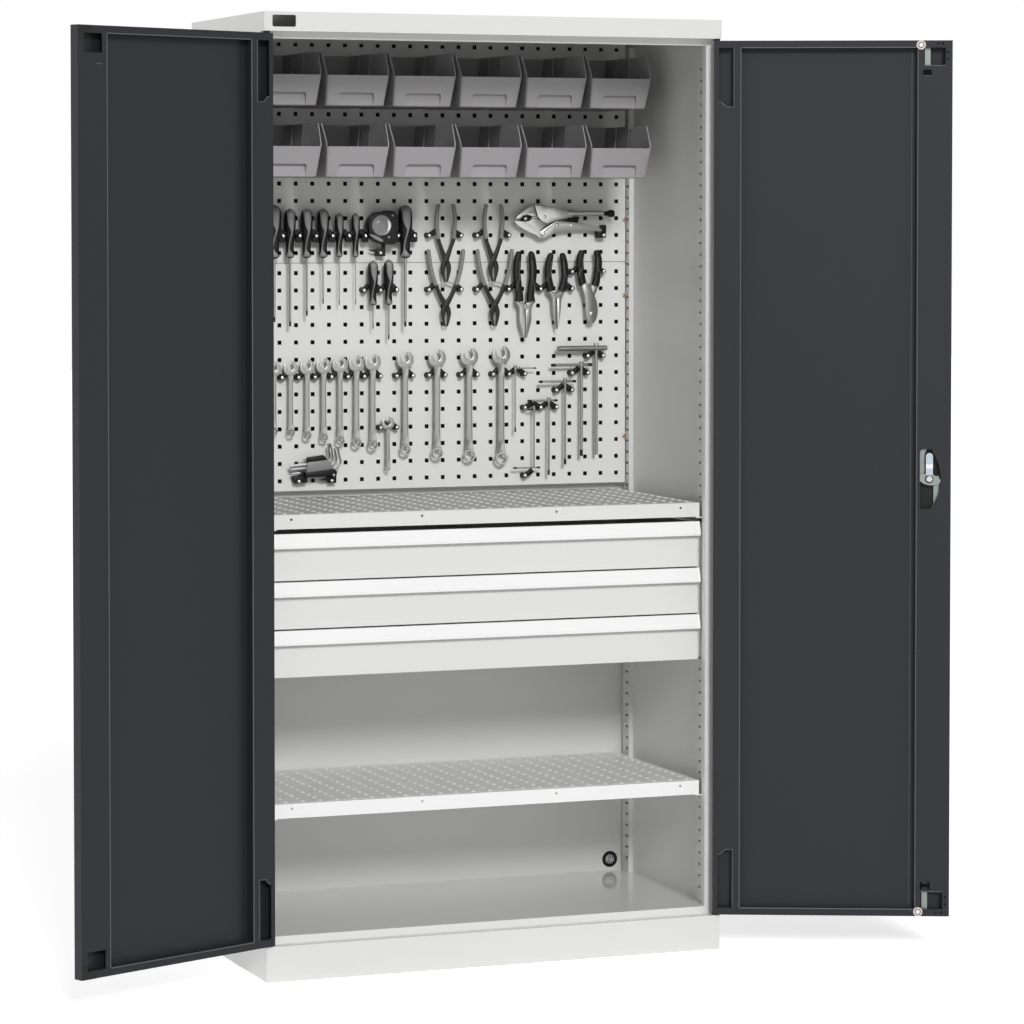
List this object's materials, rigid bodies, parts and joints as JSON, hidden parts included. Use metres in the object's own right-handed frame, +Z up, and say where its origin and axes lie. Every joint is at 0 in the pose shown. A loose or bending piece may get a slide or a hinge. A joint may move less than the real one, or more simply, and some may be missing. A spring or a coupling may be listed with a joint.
{
  "type": "two-door tool cabinet",
  "caption": "Tall steel tool cabinet with two hinged doors, a perforated tool panel with hung tools and bins, drawers and shelves.",
  "frame": {"origin": "centre of the cabinet's footprint on the floor", "axes": "+Z up, -Y the open front, +X the viewer's right"},
  "size_m": [1.9341, 0.7336, 2],
  "materials": {
    "carcass_paint": "light grey powder coat, semi-gloss, faint texture",
    "door_paint": "anthracite powder coat, fine texture",
    "grip_white": "white satin strip",
    "black_plastic": "black moulded plastic",
    "zinc_steel": "bright zinc plate",
    "brass_clip": "small brass-coloured clips",
    "roller_plastic": "pale beige plastic",
    "bin_plastic": "mid grey moulded plastic",
    "tool_steel": "satin tool steel",
    "hook_black": "black holders",
    "grommet_rubber": "soft grey membrane"
  },
  "bodies": {
    "carcass": {"side_panel_right": "carcass_paint", "side_panel_left": "carcass_paint", "back_panel": "carcass_paint", "top_cap": "carcass_paint", "front_lintel": "carcass_paint", "floor_panel": "carcass_paint", "plinth": "carcass_paint", "plinth_runner": "carcass_paint", "front_posts": "carcass_paint", "rear_posts": "carcass_paint", "pegboard_upper": "carcass_paint", "pegboard_lower": "carcass_paint", "pegboard_clips": "brass_clip", "work_shelf": "carcass_paint", "lower_shelf": "carcass_paint", "shelf_brackets": "carcass_paint", "cable_grommet": "grommet_rubber", "hinge_pins": "black_plastic", "bins_upper": "bin_plastic", "bins_lower": "bin_plastic", "bin_rails": "carcass_paint", "fixed_runners": "zinc_steel", "drawer_housing": "carcass_paint", "tool_hooks": "hook_black", "screwdrivers": "black_plastic", "spanners": "tool_steel", "pliers": "tool_steel", "locking_pliers": "tool_steel", "cross_bar_keys": "tool_steel", "hex_key_set": "black_plastic", "tape_measure": "black_plastic"},
    "right_door": {"right_door_skin": "door_paint", "right_door_frame": "door_paint", "right_hinge_bushes": "black_plastic", "lock_escutcheon": "black_plastic", "rod_guides": "zinc_steel", "roller_pins": "zinc_steel"},
    "left_door": {"left_door_skin": "door_paint", "left_door_frame": "door_paint", "left_hinge_bushes": "black_plastic", "left_door_corner_caps": "black_plastic"},
    "lock_handle": {"door_handle": "black_plastic", "lock_cam": "zinc_steel"},
    "key_plug": {"key_cylinder": "zinc_steel"},
    "upper_lock_rod": {"upper_rod": "zinc_steel"},
    "lower_lock_rod": {"lower_rod": "zinc_steel"},
    "upper_roller": {"top_roller": "roller_plastic"},
    "lower_roller": {"bottom_roller": "roller_plastic"},
    "drawer_1": {"drawer_box_1": "carcass_paint", "drawer_front_1": "carcass_paint", "drawer_grip_1": "grip_white"},
    "runner_pair_1": {"middle_runners_1": "zinc_steel"},
    "drawer_2": {"drawer_box_2": "carcass_paint", "drawer_front_2": "carcass_paint", "drawer_grip_2": "grip_white"},
    "runner_pair_2": {"middle_runners_2": "zinc_steel"},
    "drawer_3": {"drawer_box_3": "carcass_paint", "drawer_front_3": "carcass_paint", "drawer_grip_3": "grip_white"},
    "runner_pair_3": {"middle_runners_3": "zinc_steel"}
  },
  "joints": [
    {"name": "right_door_hinge", "type": "hinge", "parent": "carcass", "child": "right_door", "pos_m": [0.5042, -0.2541, 1], "axis": [0, 0, 1], "range_deg": [-156.3, 23.7]},
    {"name": "left_door_hinge", "type": "hinge", "parent": "carcass", "child": "left_door", "pos_m": [-0.5042, -0.2541, 1], "axis": [0, 0, -1], "range_deg": [-156.1, 23.9]},
    {"name": "handle_turn", "type": "hinge", "parent": "right_door", "child": "lock_handle", "pos_m": [0.9253, -0.42978, 1.0185], "axis": [0.4019, 0.9157, 0], "range_deg": [0, 90]},
    {"name": "key_turn", "type": "hinge", "parent": "lock_handle", "child": "key_plug", "pos_m": [0.9253, -0.42978, 1.0185], "axis": [0.4019, 0.9157, 0], "range_deg": [0, 90]},
    {"name": "upper_rod_slide", "type": "slide", "parent": "right_door", "child": "upper_lock_rod", "axis": [0, 0, 1], "range_m": [0, 0.02]},
    {"name": "lower_rod_slide", "type": "slide", "parent": "right_door", "child": "lower_lock_rod", "axis": [0, 0, -1], "range_m": [0, 0.02]},
    {"name": "top_roller_spin", "type": "hinge", "parent": "right_door", "child": "upper_roller", "pos_m": [0.89723, -0.44148, 1.9455], "axis": [0.4019, 0.9157, 0], "continuous": true},
    {"name": "bottom_roller_spin", "type": "hinge", "parent": "right_door", "child": "lower_roller", "pos_m": [0.89723, -0.44148, 0.086], "axis": [0.4019, 0.9157, 0], "continuous": true},
    {"name": "drawer_1_slide", "type": "slide", "parent": "carcass", "child": "drawer_1", "axis": [0, -1, 0], "range_m": [0, 0.36]},
    {"name": "runner_pair_1_slide", "type": "slide", "parent": "carcass", "child": "runner_pair_1", "axis": [0, -1, 0], "range_m": [0, 0.18]},
    {"name": "drawer_2_slide", "type": "slide", "parent": "carcass", "child": "drawer_2", "axis": [0, -1, 0], "range_m": [0, 0.36]},
    {"name": "runner_pair_2_slide", "type": "slide", "parent": "carcass", "child": "runner_pair_2", "axis": [0, -1, 0], "range_m": [0, 0.18]},
    {"name": "drawer_3_slide", "type": "slide", "parent": "carcass", "child": "drawer_3", "axis": [0, -1, 0], "range_m": [0, 0.36]},
    {"name": "runner_pair_3_slide", "type": "slide", "parent": "carcass", "child": "runner_pair_3", "axis": [0, -1, 0], "range_m": [0, 0.18]}
  ],
  "couplings": [
    {"joint": "upper_rod_slide", "follows": "handle_turn", "m_per_rad": 0.0127},
    {"joint": "lower_rod_slide", "follows": "handle_turn", "m_per_rad": 0.0127},
    {"joint": "runner_pair_1_slide", "follows": "drawer_1_slide", "ratio": 0.5},
    {"joint": "runner_pair_2_slide", "follows": "drawer_2_slide", "ratio": 0.5},
    {"joint": "runner_pair_3_slide", "follows": "drawer_3_slide", "ratio": 0.5}
  ]
}
